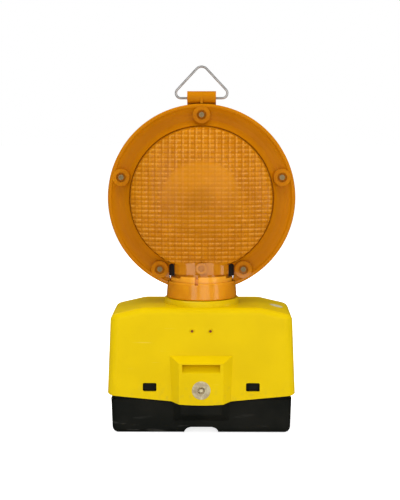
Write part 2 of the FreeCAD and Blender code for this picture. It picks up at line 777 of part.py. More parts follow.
def build_driver():
    """Flasher board that stands behind the front wall, with the parts soldered to it."""
    board = block("driver_plate", (-31, 31), ("-board_front", "-board_back"), (84, 114))
    holes = [rod(f"driver_hole_{number}", 1.6, (x, "-board_front - 1", z), 4, "Y")
             for number, (x, z) in enumerate(BOARD_SCREWS)]
    back = "-board_back"
    chips = [
        block("driver_chip", (-8, 2), (back, f"{back} + 1.6"), (98, 104)),
        block("driver_transistor_left", (-19, -13), (back, f"{back} + 1.8"), (90, 95)),
        block("driver_transistor_right", (-19, -13), (back, f"{back} + 1.8"), (99, 104)),
    ]
    pilots = [
        block(f"pilot_chip_{word}", (x - 1.2, x + 1.2),
              ("-board_front - 0.8", "-board_front"), (100.4, 102.4))
        for word, x in (("left", -9), ("right", 9))
    ]
    capacitors = [
        rod(f"driver_capacitor_{number}", 1.6, (12 + 6 * number, "-board_back + 1.6", 88), 9)
        for number in range(2)
    ]
    coil = cut("driver_coil_ring", rod("coil_outer", 5, (22, back, 106), 3, "Y"),
               [rod("coil_inner", 2.2, (22, f"{back} - 1", 106), 5, "Y")])
    studs = [screw(f"board_screw_{number}", (2.4, 1.3), 1.2, 4.6, (x, back, z), "Y", -1)
             for number, (x, z) in enumerate(BOARD_SCREWS)]
    return (cut("driver_part", board, holes), group("chips", chips + pilots),
            group("capacitors", capacitors), coil, group("board_screw_group", studs))


def build_pilots_and_sensor():
    """Two light guides in the dimples, and the dusk sensor under its window."""
    guides = []
    for word, x in (("left", "-dimple_offset"), ("right", "dimple_offset")):
        guides.append(union(f"guide_{word}", [
            rod(f"guide_{word}_stem", 1.25, (x, -43.4, "dimple_height"), 3.2, "Y"),
            rod(f"guide_{word}_flange", 2.2, (x, -41.4, "dimple_height"), 1, "Y"),
        ]))
    window = shoulder_rod("sensor_disc", "sensor_radius", 0.3, 1.45)
    can = shoulder_rod("sensor_can", 4.2, -1.2, 3.4)
    return group("guides", guides), window, can


def build_leads():
    """Fixed internal leads, each a pair of wires with wide bends."""
    top = size("carrier_foot")
    runs = {
        "socket_lead": [(10, -36.6, 107.5), (10, -32.6, 112.2), (10, -12, 112.2), (0, 0, 112.6),
                        (0, 0, top + 1.8)],
        "sensor_lead": [(29, -36.9, 111), (35, -32, 112.4), (61, -14, 112.2), (72.5, -2, 112.6),
                        (73.6, 0, 115.0)],
    }
    leads = []
    for name, points in runs.items():
        wires = []
        for shift in (-0.85, 0.85):
            route = [Vector(x, y, z) + Vector(shift, 0, 0) for x, y, z in points]
            wires.append(swept(bent_wire(route, 2.4), 0.75))
        leads.append(shaped(name, wires))
    return leads


def build_swivel():
    """Seal, snap ring and centre socket of the swivel."""
    seal = doc.addObject("Part::Torus", "seal_ring")
    seal.Radius1 = 30
    seal.Radius2 = 1.25
    move_to(seal, 0, 0, 128.5)
    snap = cut("snap_ring", ring("snap_disc", 23.2, 18.85, 134.1, 2),
               [block("snap_gap", (-4, 4), (12, 30), (130, 140))])
    socket = cut("socket_part", rod("socket_body", 9, (0, 0, "carrier_top"), 12.7),
                 [rod("socket_bore", 2.5, (0, 0, "carrier_top + 2"), 12)])
    return seal, snap, socket


def build_lock():
    """Quarter-turn lock: housing and nut on the hood, core and tongue that turn."""
    front = "-(pad_reach + 0.3)"
    bezel = cone("lock_bezel", "lock_radius - 0.5", "lock_radius", (0, front, "lock_height"),
                 0.3, "Y")
    barrel = rod("lock_barrel", "lock_barrel_radius", (0, "-pad_reach", "lock_height"),
                 "pad_reach - 42", "Y")
    housing = cut("lock_housing_part", union("lock_housing_solid", [bezel, barrel]),
                  [rod("lock_bore", "lock_core_radius + 0.06", (0, -60, "lock_height"), 30, "Y")])
    nut = cut("lock_nut_part", hexagon("lock_nut_blank", 18, -51.3, 3.4),
              [rod("lock_nut_bore", "lock_barrel_radius + 0.05", (0, -60, "lock_height"), 30, "Y")])
    keyway = cut("lock_keyway", rod("lock_keyway_outer", 3.7, (0, -56, "lock_height"), 5.6, "Y"),
                 [rod("lock_keyway_pin", 1.7, (0, "-(pad_reach + 0.6)", "lock_height"), 9, "Y")])
    core = cut("lock_core_part", union("lock_core_solid", [
        rod("lock_core_drum", "lock_core_radius", (0, "-(pad_reach + 0.1)", "lock_height"),
            "pad_reach + 0.1 - 41.2", "Y"),
        rod("lock_core_stem", 3, (0, -41.2, "lock_height"), 2, "Y"),
    ]), [keyway, rod("lock_core_thread", 1.2, (0, -45.2, "lock_height"), 8, "Y")])
    tongue = cut("lock_tongue_part", union("lock_tongue_solid", [
        rod("lock_tongue_hub", 5.9, (0, -41.1, "lock_height"), 1.9, "Y"),
        block("lock_tongue_arm", (-3.5, 3.5), (-41.1, -39.2),
              ("lock_height - tongue_reach", "lock_height")),
    ]), [rod("lock_tongue_hole", 3, (0, -42, "lock_height"), 4, "Y")])
    stud = screw("tongue_screw_part", (2.6, 1), 1.2, 5, (0, -39.2, "lock_height"), "Y", -1)
    return housing, nut, core, tongue, stud


def hexagon(name, across_flats, start, length):
    """A hexagonal blank square to the front, level with the lock."""
    owner = new_body(name)
    reach = across_flats / math.sqrt(3)
    corners = []
    for number in range(6):
        angle = math.radians(60 * number)
        corners.append((f"{reach * math.cos(angle):.4f}",
                        f"lock_height + {reach * math.sin(angle):.4f}"))
    profile = outline(owner, f"{name}_outline", "XZ_Plane", corners)
    pad(owner, profile, str(length), reverse=True)
    move_to(owner, 0, start, 0)
    return owner


def build_mode_switch():
    """Slide switch under the carrier: a body with a slot, and the knob that travels in it."""
    top = "carrier_foot"
    case = cut("switch_case",
               block("switch_case_block", (-7, 7), (-28, -21), (f"{top} - 4", top)),
               [block("switch_slot", (-4.2, 4.2), (-26, -23), (f"{top} - 5", f"{top} - 1.4"))])
    knob = block("switch_knob_block", (-3.9, -0.4), (-25.9, -23.1), (f"{top} - 6", f"{top} - 1.8"))
    return case, knob


# ---------------------------------------------------------------- lens head


def lens_profile(owner, side, name):
    """Half-section of a lens shell: bead, coved channel, narrow groove, then the dome."""
    out = -1 if side > 0 else 1
    return outline(owner, name, "YZ_Plane", [
        (f"{side} * seam_half_gap", "0"),
        (f"{side} * seam_half_gap", "disc_radius"),
        (f"{side} * 6.2", "disc_radius"),
        (f"{side} * 6.4", "disc_radius - 4.4", "2.4", -out),
        (f"{side} * 4.2", "disc_radius - 11.4", "18", out),
        (f"{side} * 4.2", "lens_radius + 7"),
        (f"{side} * 7.6", "lens_radius + 1.4", "9", out),
        (f"{side} * 6.4", "lens_radius + 0.9"),
        (f"{side} * 6.4", "lens_radius + 0.3"),
        (f"{side} * 10.4", "lens_radius"),
        (f"{side} * 19", "lens_radius - 1"),
        (f"{side} * 23.6", "lens_radius - 4.8", "5", -out),
        (f"{side} * lens_depth", "0", "180", -out),
    ])


def dome_profile(owner, side, name):
    """Half-section of the space inside a lens shell."""
    out = -1 if side > 0 else 1
    return outline(owner, name, "YZ_Plane", [
        (f"{-side}", "0"),
        (f"{-side}", "lens_radius - 2.4"),
        (f"{side} * 8", "lens_radius - 2.6"),
        (f"{side} * 18.6", "lens_radius - 3.5"),
        (f"{side} * 21.6", "lens_radius - 6.4", "3.2", -out),
        (f"{side} * (lens_depth - 2.6)", "0", "179.5", -out),
    ])


def head_turned(name, side, draw):
    """Turn a half-section about the lens's own front-to-rear axis."""
    owner = new_body(name)
    turned(owner, draw(owner, side, f"{name}_section"), "H_Axis")
    move_to(owner, 0, 0, "head_height")
    return owner


def half_rod(name, radius, foot, top, side):
    """Half of a cylinder about the neck axis, on one side of the seam."""
    whole = rod(f"{name}_whole", radius, (0, 0, foot), f"({top}) - ({foot})")
    near, far = "seam_half_gap", "60"
    ends = (near, far) if side > 0 else (f"-{far}", f"-{near}")
    return overlap(name, [whole, block(f"{name}_side", ("-60", "60"), ends,
                                       (f"{foot} - 1", f"{top} + 1"))])


def neck_head(name, side):
    """The upper neck of one lens half: a shallow curved front between two rounded corners."""
    centre = "neck_head_curve - neck_head_reach" if side < 0 else "neck_head_reach - neck_head_curve"
    height = "neck_head_top - neck_head_foot"
    ends = ("-60", "-seam_half_gap") if side < 0 else ("seam_half_gap", "60")
    return overlap(name, [
        rod(f"{name}_face", "neck_head_curve", (0, centre, "neck_head_foot"), height),
        rod(f"{name}_corners", "neck_head_half_width + 4.4", (0, 0, "neck_head_foot"), height),
        block(f"{name}_sides", ("-neck_head_half_width", "neck_head_half_width"), ends,
              ("neck_head_foot", "neck_head_top")),
    ])


def screw_places():
    """Five screws: one at the top, two beside the lens and two above the neck."""
    circle, centre = size("screw_circle_radius"), size("head_height")
    places = []
    for angle in (90, 14.5, 165.5, 239.6, 300.4):
        turn = math.radians(angle)
        places.append((circle * math.cos(turn), centre + circle * math.sin(turn)))
    return places


def collar_rooms(word, ring_end="ring_top + 0.5"):
    """Space round the neck for the flared collar and, above it, for the collar's ring."""
    return [
        cone(f"{word}_collar_room", "collar_radius + 2.7", "collar_radius - 1", (0, 0, 100),
             "collar_top - 99.5"),
        rod(f"{word}_ring_room", "ring_radius + 0.5", (0, 0, 100), f"{ring_end} - 100"),
    ]


def build_lens(word, side):
    """One amber moulding: half the lens, its flange and screw bosses, and half the neck."""
    disc = head_turned(f"{word}_disc", side, lens_profile)
    trimmed = cut(f"{word}_trimmed", disc, collar_rooms(word))
    solids = [
        trimmed,
        half_rod(f"{word}_neck", "neck_radius", "neck_foot", "neck_head_foot + 0.1", side),
        neck_head(f"{word}_neck_head", side),
    ]
    bores = [
        head_turned(f"{word}_dome", side, dome_profile),
        rod(f"{word}_neck_bore", "neck_bore", (0, 0, "neck_foot - 1"), "cradle_foot + 2 - neck_foot"),
        rod(f"{word}_upper_bore", "neck_upper_bore", (0, 0, "cradle_foot"),
            "neck_bore_top - cradle_foot"),
        rod(f"{word}_cradle_groove", "neck_bore + 0.7", (0, 0, "cradle_foot - 0.1"),
            "cradle_height + 0.2"),
    ]
    depth = "boss_face - seam_half_gap" if side < 0 else "10 - seam_half_gap"
    boss_radius = 8.6 if side < 0 else 6
    start = "-boss_face" if side < 0 else "seam_half_gap"
    for number, (x, z) in enumerate(screw_places()):
        solids.append(rod(f"{word}_boss_{number}", boss_radius, (x, start, z), depth, "Y"))
        if side < 0:
            bores.append(rod(f"{word}_counterbore_{number}", 4.8, (x, "-boss_face - 1", z), 4.5, "Y"))
            bores.append(rod(f"{word}_clearance_{number}", 1.7, (x, -9, z), 10, "Y"))
        else:
            bores.append(rod(f"{word}_pilot_{number}", 1.5, (x, -1, z), 10.2, "Y"))
    for mirror in (-1, 1):
        ends = ("27.05", "32.4") if mirror > 0 else ("-32.4", "-27.05")
        label = f"{word}_slot_{'right' if mirror > 0 else 'left'}"
        depths = (-20, 0) if side < 0 else (0, 20)
        bores.append(block(label, ends, depths, (149.4, 160.7)))
        bores.append(rod(f"{label}_top", 2.675, (f"{mirror} * 29.725", depths[0], 160.7), 20, "Y"))
    if side < 0:
        solids.append(rod("neck_boss", 5.5, (0, "-neck_boss_reach", "neck_boss_height"), 6, "Y"))
        bores.append(rod("neck_boss_recess", 3.1, (0, "-neck_boss_reach - 1", "neck_boss_height"),
                         2.8, "Y"))
    else:
        solids += lug_solids()
        bores.append(rod("lug_bore", 2.2, ("-lug_half_width - 1", 0, "lug_height"),
                         "2 * lug_half_width + 2", "X"))
    moulding = cut(f"{word}_moulding", union(f"{word}_solid", solids), bores)
    return moulding if side < 0 else union("rear_with_stops", [moulding] + stop_ribs())


def lug_solids():
    """Tube for the hanger wire on top of the rear lens, its web and its small front rib."""
    return [
        rod("lug_tube", "lug_radius", ("-lug_half_width", 0, "lug_height"),
            "2 * lug_half_width", "X"),
        block("lug_web", ("-lug_half_width", "lug_half_width"), ("seam_half_gap", "5.2"),
              ("lug_height - 12", "lug_height - 2")),
        block("lug_rib", (-1.2, 1.2), (-6.3, -4), ("lug_height - 5.6", "lug_height - 1")),
    ]


def stop_ribs():
    """Two ribs inside the rear half of the neck that stop the swivel a quarter turn each way."""
    ribs = []
    for word, angle in (("right", 15), ("left", 165)):
        rib = doc.addObject("Part::Box", f"stop_rib_{word}")
        rib.Length, rib.Width, rib.Height = 2.9, 4.6, 4
        turn = Rotation(Vector(0, 0, 1), angle)
        rib.Placement = Placement(turn.multVec(Vector(21.5, -2.3, 0)) + Vector(0, 0, 137), turn)
        ribs.append(rib)
    return ribs


def build_lens_seal():
    """Dark flat seal between the two flanges, wider beside the neck."""
    half = "seam_half_gap - 0.02"
    width = f"2 * ({half})"
    centre = (0, f"-({half})", "head_height")
    flat = cut("seal_flat", rod("seal_disc", "disc_radius - 5.5", centre, width, "Y"),
               [rod("seal_hole", "lens_radius + 2", (0, -2, "head_height"), 4, "Y")])
    feet = block("seal_feet", (-33.4, 33.4), (f"-({half})", half), ("collar_top + 1.5", 165))
    room = collar_rooms("seal", "ring_top - 1.9") + [
        rod("seal_neck_room", "neck_radius + 0.03", (0, 0, 100), 130),
        rod("seal_lens_room", "lens_radius - 1.5", (0, -2, "head_height"), 4, "Y"),
    ]
    for number, (x, z) in enumerate(screw_places()):
        room.append(rod(f"seal_screw_hole_{number}", 1.7, (x, -2, z), 4, "Y"))
    return cut("lens_seal_part", union("seal_solid", [flat, feet]), room)


def build_lens_screws():
    """Five screws that hold the two lens halves together."""
    return group("lens_screw_group", [
        screw(f"lens_screw_{number}", (2.6, 1.9), 1.5, 13.5, (x, -4.9, z), "Y", 1, 0.9)
        for number, (x, z) in enumerate(screw_places())
    ])


def build_collar():
    """Amber ring round the foot of the neck, with a lower ring inside it that has three arms."""
    owner = new_body("collar_ring")
    section = outline(owner, "collar_section", "XZ_Plane", [
        ("spigot_radius + 0.08", "collar_foot"),
        ("collar_radius - 0.6", "collar_foot"),
        ("collar_radius", "collar_foot + 1"),
        ("collar_radius - 0.3", "collar_foot + 6"),
        ("collar_radius - 1.1", "collar_top - 0.8"),
        ("collar_radius - 1.8", "collar_top"),
        ("ring_radius + ring_groove", "collar_top"),
        ("ring_radius + ring_groove", "collar_top - 1.2"),
        ("ring_radius", "collar_top - 1.2"),
        ("ring_radius - 0.5", "ring_top - 2.2"),
        ("neck_radius + 0.03", "ring_top - 2.2"),
        ("neck_radius + 0.03", "neck_foot - 0.4"),
        ("spigot_radius + 0.08", "neck_foot - 0.4"),
    ])
    turned(owner, section, "V_Axis")
    arms = []
    for number, (angle, sweep) in enumerate(((228, 30.5), (264.5, 57.5), (50, 80))):
        arm = cone(f"arm_sector_{number}", "ring_radius - 0.5", "ring_radius - 1",
                   (0, 0, "ring_top - 2.3"), 2.3)
        arm.Angle = sweep
        arm.Placement = Placement(arm.Placement.Base, Rotation(Vector(0, 0, 1), angle))
        move_to(arm, 0, 0, "ring_top - 2.3")
        arms.append(cut(f"arm_{number}", arm,
                        [rod(f"arm_core_{number}", "neck_radius + 0.03", (0, 0, 140), 14)]))
    notch = block("collar_notch", (-6.4, -3.1), (-40, -27.5), ("collar_top - 1.6", "ring_top + 1"))
    return cut("collar_part", union("collar_solid", [owner] + arms), [notch])


def build_light_source():
    """Upright board with its lamps at the middle of the lens, its cradle and its plug."""
    owner = new_body("led_plate")
    profile = outline(owner, "led_plate_outline", "XZ_Plane", [
        (-6, 136), (6, 136), (6, 214), (12, 220), (12, 240), (-12, 240), (-12, 220), (-6, 214),
    ])
    pad(owner, profile, 1.6, middle=True)
    cradle = cut("cradle_part", rod("cradle_disc", "neck_bore + 0.6", (0, 0, "cradle_foot"),
                                    "cradle_height"), [
        block("cradle_slot", (-6, 6), (-0.8, 0.8), (140, 160)),
        rod("cradle_vent_left", 4, (-14, 0, 140), 20),
        rod("cradle_vent_right", 4, (14, 0, 140), 20),
    ])
    lamps, frames, resistors = [], [], []
    centre = size("head_height")
    for word, side in (("front", -1), ("rear", 1)):
        near, far = (0.8, 4.8)
        ends = (near, far) if side > 0 else (-far, -near)
        frame = block(f"lamp_frame_{word}", (-10.5, 10.5), ends, (centre - 6, centre + 6))
        wells = []
        for number, x in enumerate((-6.5, 0, 6.5)):
            wells.append(cone(f"lamp_well_{word}_{number}", 2.9 if side < 0 else 2.0,
                              2.0 if side < 0 else 2.9, (x, ends[0], centre), far - near, "Y"))
            chip_ends = (0.8, 1.8) if side > 0 else (-1.8, -0.8)
            dome = doc.addObject("Part::Sphere", f"lamp_dome_{word}_{number}")
            dome.Radius = 1
            move_to(dome, x, side * 1.8, centre)
            lamps.append(union(f"lamp_{word}_{number}", [
                block(f"lamp_chip_{word}_{number}", (x - 1.4, x + 1.4), chip_ends,
                      (centre - 1.4, centre + 1.4)), dome]))
            resistors.append(block(f"resistor_{word}_{number}", (x * 0.5 - 1.1, x * 0.5 + 1.1),
                                   (side * 0.8 - (0.6 if side < 0 else 0),
                                    side * 0.8 + (0.6 if side > 0 else 0)), (196, 200)))
        frames.append(cut(f"lamp_holder_{word}", frame, wells))
    plug = cut("plug_part", union("plug_solid", [
        rod("plug_body", 7, (0, 0, 132.2), 9),
        rod("plug_pin", 2.45, (0, 0, 122), 10.5),
    ]), [block("plug_slot", (-6, 6), (-0.8, 0.8), (136, 150))])
    return (owner, cradle, group("lamps", lamps), group("lamp_frames", frames),
            group("resistors", resistors), plug)


def build_hanger():
    """Bent wire triangle that stands upright in the lug's tube."""
    foot, apex = size("hanger_axis_height"), size("hanger_apex_height")
    corner, apex_bend = size("hanger_corner_reach"), size("hanger_apex_radius")
    half_apex = math.atan2(corner, apex - foot + apex_bend * 0.45)
    peak = apex + apex_bend * (1 / math.sin(half_apex) - 1)
    points = [Vector(0, 0, peak), Vector(corner, 0, foot), Vector(-corner, 0, foot)]
    bends = [apex_bend, size("hanger_corner_radius"), size("hanger_corner_radius")]
    loop = bent_wire(points, bends, closed=True)
    return shaped("hanger_wire", [swept(loop, size("hanger_wire_radius"))])


# ---------------------------------------------------------------- assembly

nodes = {"battery_tub": build_tub()}
nodes["strike_plate"], nodes["strike_rivets"] = build_strike()
left_case, left_cap = build_battery("left", -1)
right_case, right_cap = build_battery("right", 1)
nodes["battery_left"] = left_case
nodes["battery_right"] = right_case
nodes["battery_caps"] = group("caps", [left_cap, right_cap])
nodes["battery_springs"] = build_springs()
nodes["hood"] = build_hood()
nodes["contact_carrier"], nodes["contact_plates"], nodes["carrier_screws"] = build_carrier()
(nodes["driver_board"], nodes["driver_chips"], nodes["driver_capacitors"], nodes["driver_coil"],
 nodes["board_screws"]) = build_driver()
nodes["pilot_lights"], nodes["sensor_window"], nodes["dusk_sensor"] = build_pilots_and_sensor()
nodes["socket_lead"], nodes["sensor_lead"] = build_leads()
nodes["swivel_seal"], nodes["retaining_ring"], nodes["head_socket"] = build_swivel()
(nodes["lock_housing"], nodes["lock_nut"], nodes["lock_core"], nodes["lock_tongue"],
 nodes["tongue_screw"]) = build_lock()
nodes["mode_switch_body"], nodes["mode_switch_knob"] = build_mode_switch()
nodes["front_lens"] = build_lens("front", -1)
nodes["rear_lens"] = build_lens("rear", 1)
nodes["lens_seal"] = build_lens_seal()
nodes["lens_screws"] = build_lens_screws()
nodes["bayonet_collar"] = build_collar()
(nodes["led_board"], nodes["board_cradle"], nodes["leds"], nodes["led_holders"],
 nodes["led_resistors"], nodes["head_plug"]) = build_light_source()
nodes["hanger"] = build_hanger()

doc.recompute()
for item in doc.Objects:
    if "Invalid" in item.State or "Error" in item.State:
        raise RuntimeError(f"{item.Name} did not build: {item.State}")

os.makedirs("parts", exist_ok=True)
for name, item in nodes.items():
    item.Label = name
    if item.Shape.isNull() or not item.Shape.isValid() or not item.Shape.Solids:
        raise RuntimeError(f"{name} has no valid shape")
    item.Shape.exportStep(f"parts/{name}.step")
    print(f"{name}: {len(item.Shape.Solids)} solid(s), {item.Shape.Volume / 1000:.1f} cm3")
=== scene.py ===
import math

import bmesh
import bpy
from mathutils import Matrix, Vector


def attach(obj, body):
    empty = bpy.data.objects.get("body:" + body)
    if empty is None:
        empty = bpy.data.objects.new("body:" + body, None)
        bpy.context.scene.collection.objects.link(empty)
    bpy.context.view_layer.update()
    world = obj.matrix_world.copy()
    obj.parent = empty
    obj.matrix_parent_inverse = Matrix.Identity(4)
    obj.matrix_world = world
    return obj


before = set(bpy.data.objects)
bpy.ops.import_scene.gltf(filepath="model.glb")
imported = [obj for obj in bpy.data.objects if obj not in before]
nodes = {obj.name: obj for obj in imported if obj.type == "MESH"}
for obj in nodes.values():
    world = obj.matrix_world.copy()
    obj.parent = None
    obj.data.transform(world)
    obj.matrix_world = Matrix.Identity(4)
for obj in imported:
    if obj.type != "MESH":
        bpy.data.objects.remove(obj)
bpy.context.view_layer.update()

# ---------------------------------------------------------------------------------------------
# Camera: it looks at the lamp's front from 1.3 m away and from just below the top of the head.
# The lamp's foot stands on the frame's floor, with the neck's axis at the origin.
# ---------------------------------------------------------------------------------------------
EYE_DISTANCE = 1.3
EYE_HEIGHT = 0.320
EYE_TURN = math.radians(0.5)
AIM = Vector((-0.0016, 0, 0.1763))

eye = bpy.data.cameras.new("eye")
eye.sensor_width = 36
eye.lens = 94.17
eye_object = bpy.data.objects.new("eye", eye)
eye_object.location = (AIM.x + EYE_DISTANCE * math.sin(EYE_TURN), -EYE_DISTANCE * math.cos(EYE_TURN),
                       EYE_HEIGHT)
eye_object.rotation_mode = "QUATERNION"
eye_object.rotation_quaternion = (AIM - eye_object.location).to_track_quat("-Z", "Y")
bpy.context.scene.collection.objects.link(eye_object)
bpy.context.scene.camera = eye_object
bpy.context.scene.view_settings.view_transform = "Standard"

# ---------------------------------------------------------------------------------------------
# Plain soft studio light: an even pale surround that gloss sees as nearly dark, three upright
# soft boxes in front that draw the broad glints down the neck, and a box overhead and behind.
# ---------------------------------------------------------------------------------------------
SURROUND_MATT = 0.43
SURROUND_GLOSS = 0.02
SURROUND_SEEN = 1.0
WINDOW_DISTANCE = 0.7
WINDOW_HEIGHT = 0.31
WINDOW_TALL = 0.56

surround = bpy.data.worlds.new("surround")
surround.use_nodes = True
surround_nodes = surround.node_tree.nodes
surround_links = surround.node_tree.links
ray = surround_nodes.new("ShaderNodeLightPath")
lit = surround_nodes.new("ShaderNodeMapRange")
lit.inputs["To Min"].default_value = SURROUND_MATT
lit.inputs["To Max"].default_value = SURROUND_GLOSS
shown = surround_nodes.new("ShaderNodeMix")
shown.inputs[3].default_value = SURROUND_SEEN
surround_links.new(ray.outputs["Is Glossy Ray"], lit.inputs["Value"])
surround_links.new(ray.outputs["Is Camera Ray"], shown.inputs[0])
surround_links.new(lit.outputs["Result"], shown.inputs[2])
surround_links.new(shown.outputs[0], surround_nodes["Background"].inputs["Strength"])
surround_nodes["Background"].inputs["Color"].default_value = (1, 1, 1, 1)
bpy.context.scene.world = surround


def soft_box(name, turn, distance, height, width, tall, power, aim_height, mirrored=True):
    """A rectangular lamp at a turn from straight ahead, in degrees to the right."""
    lamp = bpy.data.lights.new(name, "AREA")
    lamp.shape = "RECTANGLE"
    lamp.size, lamp.size_y = width, tall
    lamp.energy = power
    holder = bpy.data.objects.new(name, lamp)
    angle = math.radians(turn)
    holder.location = (distance * math.sin(angle), -distance * math.cos(angle), height)
    holder.rotation_mode = "QUATERNION"
    aim = Vector((0, 0, aim_height)) - holder.location
    holder.rotation_quaternion = aim.to_track_quat("-Z", "Y")
    holder.visible_camera = False
    holder.visible_glossy = mirrored
    bpy.context.scene.collection.objects.link(holder)


for window, bearing, breadth, watts in (
    ("window_left", -24.5, 0.23, 0.74),
    ("window_right", 11.5, 0.38, 0.92),
    ("window_side", 48.6, 0.14, 0.50),
):
    soft_box(window, bearing, WINDOW_DISTANCE, WINDOW_HEIGHT, breadth, WINDOW_TALL, watts, WINDOW_HEIGHT)
soft_box("overhead", turn=10, distance=0.2, height=1.3, width=1.0, tall=0.8, power=9.5,
         aim_height=0.15, mirrored=False)
soft_box("behind", turn=200, distance=1.4, height=0.7, width=0.9, tall=0.7, power=9.0,
         aim_height=0.17, mirrored=False)

# ---------------------------------------------------------------------------------------------
# Table: one wide pale sheet with a faint matt mottle, just under the lamp's foot. Each material
# from here on is a Finish: formulas over the piece's own coordinates, in metres.
# ---------------------------------------------------------------------------------------------
TABLE_HALF_WIDTH = 9
TABLE_GAP = 0.0003
TABLE_GLOW = 0.80


class Amount:
    """A number that varies over a surface. Formulas on it add their Math nodes."""

    def __init__(self, finish, socket):
        self.finish, self.socket = finish, socket

    def worked(self, operation, *terms):
        return self.finish.node("Math", {"operation": operation}, dict(enumerate(terms)))

    def __add__(self, other):
        return self.worked("ADD", self, other)

    def __mul__(self, other):
        return self.worked("MULTIPLY", self, other)

    def __sub__(self, other):
        return self.worked("SUBTRACT", self, other)

    def __rsub__(self, other):
        return self.worked("SUBTRACT", other, self)

    def __truediv__(self, other):
        return self.worked("DIVIDE", self, other)

    def __pow__(self, other):
        return self.worked("POWER", self, other)

    def __abs__(self):
        return self.worked("ABSOLUTE", self)

    __radd__ = __add__
    __rmul__ = __mul__

    def sine(self):
        return self.worked("SINE", self)

    def larger(self, other):
        return self.worked("MAXIMUM", self, other)

    def step(self, low, high, start=0.0, end=1.0):
        """Rise smoothly from start to end as the amount goes from low to high."""
        settings = {"interpolation_type": "SMOOTHSTEP"}
        return self.finish.node("MapRange", settings, {0: self, 1: low, 2: high, 3: start, 4: end})


class Finish:
    """One material, built on the principled shader."""

    def __init__(self, name, colour, roughness, **steady):
        self.material = bpy.data.materials.new(name)
        self.material.use_nodes = True
        self.tree = self.material.node_tree
        self.shader = self.tree.nodes["Principled BSDF"]
        self.set("Base Color", colour)
        self.set("Roughness", roughness)
        for socket, value in steady.items():
            self.set(socket.replace("_", " "), value)

    def put(self, socket, value):
        if isinstance(value, Amount):
            self.tree.links.new(value.socket, socket)
        elif socket.type == "RGBA":
            socket.default_value = (*value, 1)
        else:
            socket.default_value = value

    def set(self, name, value):
        self.put(self.shader.inputs[name], value)

    def node(self, kind, settings, inputs, output=0):
        made = self.tree.nodes.new("ShaderNode" + kind)
        for name, value in settings.items():
            setattr(made, name, value)
        for name, value in inputs.items():
            self.put(made.inputs[name], value)
        return Amount(self, made.outputs[output])

    def point(self, stretch=(1, 1, 1), turn=(0, 0, 0)):
        """The surface point in metres, stretched or turned."""
        place = self.node("TexCoord", {}, {}, "Object")
        return self.node("Mapping", {}, {"Vector": place, "Scale": stretch, "Rotation": turn})

    def axes(self):
        """The surface point's three distances in metres."""
        place = self.point()
        return [self.node("SeparateXYZ", {}, {0: place}, n) for n in range(3)]

    def noise(self, size, detail=3, stretch=(1, 1, 1), turn=(0, 0, 0)):
        """Cloudy variation whose blotches are about size metres across."""
        inputs = {"Vector": self.point(stretch, turn), "Scale": 1 / size, "Detail": detail}
        return self.node("TexNoise", {}, inputs)

    def cells(self, size, feature="F1", output="Distance", stretch=(1, 1, 1)):
        inputs = {"Vector": self.point(stretch), "Scale": 1 / size}
        return self.node("TexVoronoi", {"feature": feature}, inputs, output)

    def blend(self, mask, first, second):
        """The first colour where mask is 0 and the second where it is 1."""
        return self.node("Mix", {"data_type": "RGBA"}, {0: mask, 6: first, 7: second}, 2)

    def bump(self, height, depth):
        """Relief of a given depth in metres."""
        self.set("Normal", self.node("Bump", {}, {"Height": height, "Distance": depth}))

    def dress(self, *names):
        """Give this finish to CAD nodes."""
        for name in names:
            for slot in nodes[name].material_slots:
                slot.material = self.material


table_finish = Finish("pale_table", (0.93, 0.93, 0.93), 0.6)
table_tone = table_finish.noise(0.08)
table_finish.set("Base Color", table_finish.blend(table_tone, (0.92, 0.92, 0.92), (0.95, 0.95, 0.95)))
table_seen = table_finish.node("LightPath", {}, {}, "Is Camera Ray")
table_finish.set("Emission Color", table_finish.blend(table_seen, (0, 0, 0), (1, 1, 1)))
table_finish.set("Emission Strength", TABLE_GLOW)
table_mesh = bmesh.new()
bmesh.ops.create_grid(table_mesh, x_segments=2, y_segments=2, size=TABLE_HALF_WIDTH)
bmesh.ops.translate(table_mesh, verts=table_mesh.verts, vec=(0, 0, -TABLE_GAP))
table_data = bpy.data.meshes.new("table")
table_mesh.to_mesh(table_data)
table = bpy.data.objects.new("table", table_data)
table_data.materials.append(table_finish.material)
bpy.context.scene.collection.objects.link(table)
table.visible_glossy = False

# ---------------------------------------------------------------------------------------------
# Battery tub: one deep black polypropylene moulding that the lamp stands on. Its sides have a
# fine spark-eroded grain, with pale scuffs along the foot where it is set down on the road.
# ---------------------------------------------------------------------------------------------
SCUFF_HEIGHT = 0.022

tub_finish = Finish("tub_black", (0.011, 0.011, 0.009), 0.45, Specular_IOR_Level=0.10)
tub_cloud = tub_finish.noise(0.035, 4)
tub_grain = tub_finish.noise(0.0007, 2)
tub_scratch = tub_finish.noise(0.004, 5, stretch=(0.15, 0.15, 1), turn=(0.2, 0.5, 0))
tub_z = tub_finish.axes()[2]
tub_scuff = tub_scratch.step(0.62, 0.72) * tub_z.step(0.0, SCUFF_HEIGHT, 1, 0.1)
tub_tone = tub_finish.blend(tub_cloud.step(0.35, 0.7), (0.008, 0.009, 0.007), (0.013, 0.013, 0.010))
tub_finish.set("Base Color", tub_finish.blend(tub_scuff * 0.5, tub_tone, (0.10, 0.095, 0.085)))
tub_finish.set("Roughness", 0.36 + tub_cloud * 0.2 + tub_scuff * 0.2)
tub_finish.bump(tub_grain + tub_scuff * 2, 0.00012)
tub_finish.dress("battery_tub", "head_plug", "head_socket", "mode_switch_body")

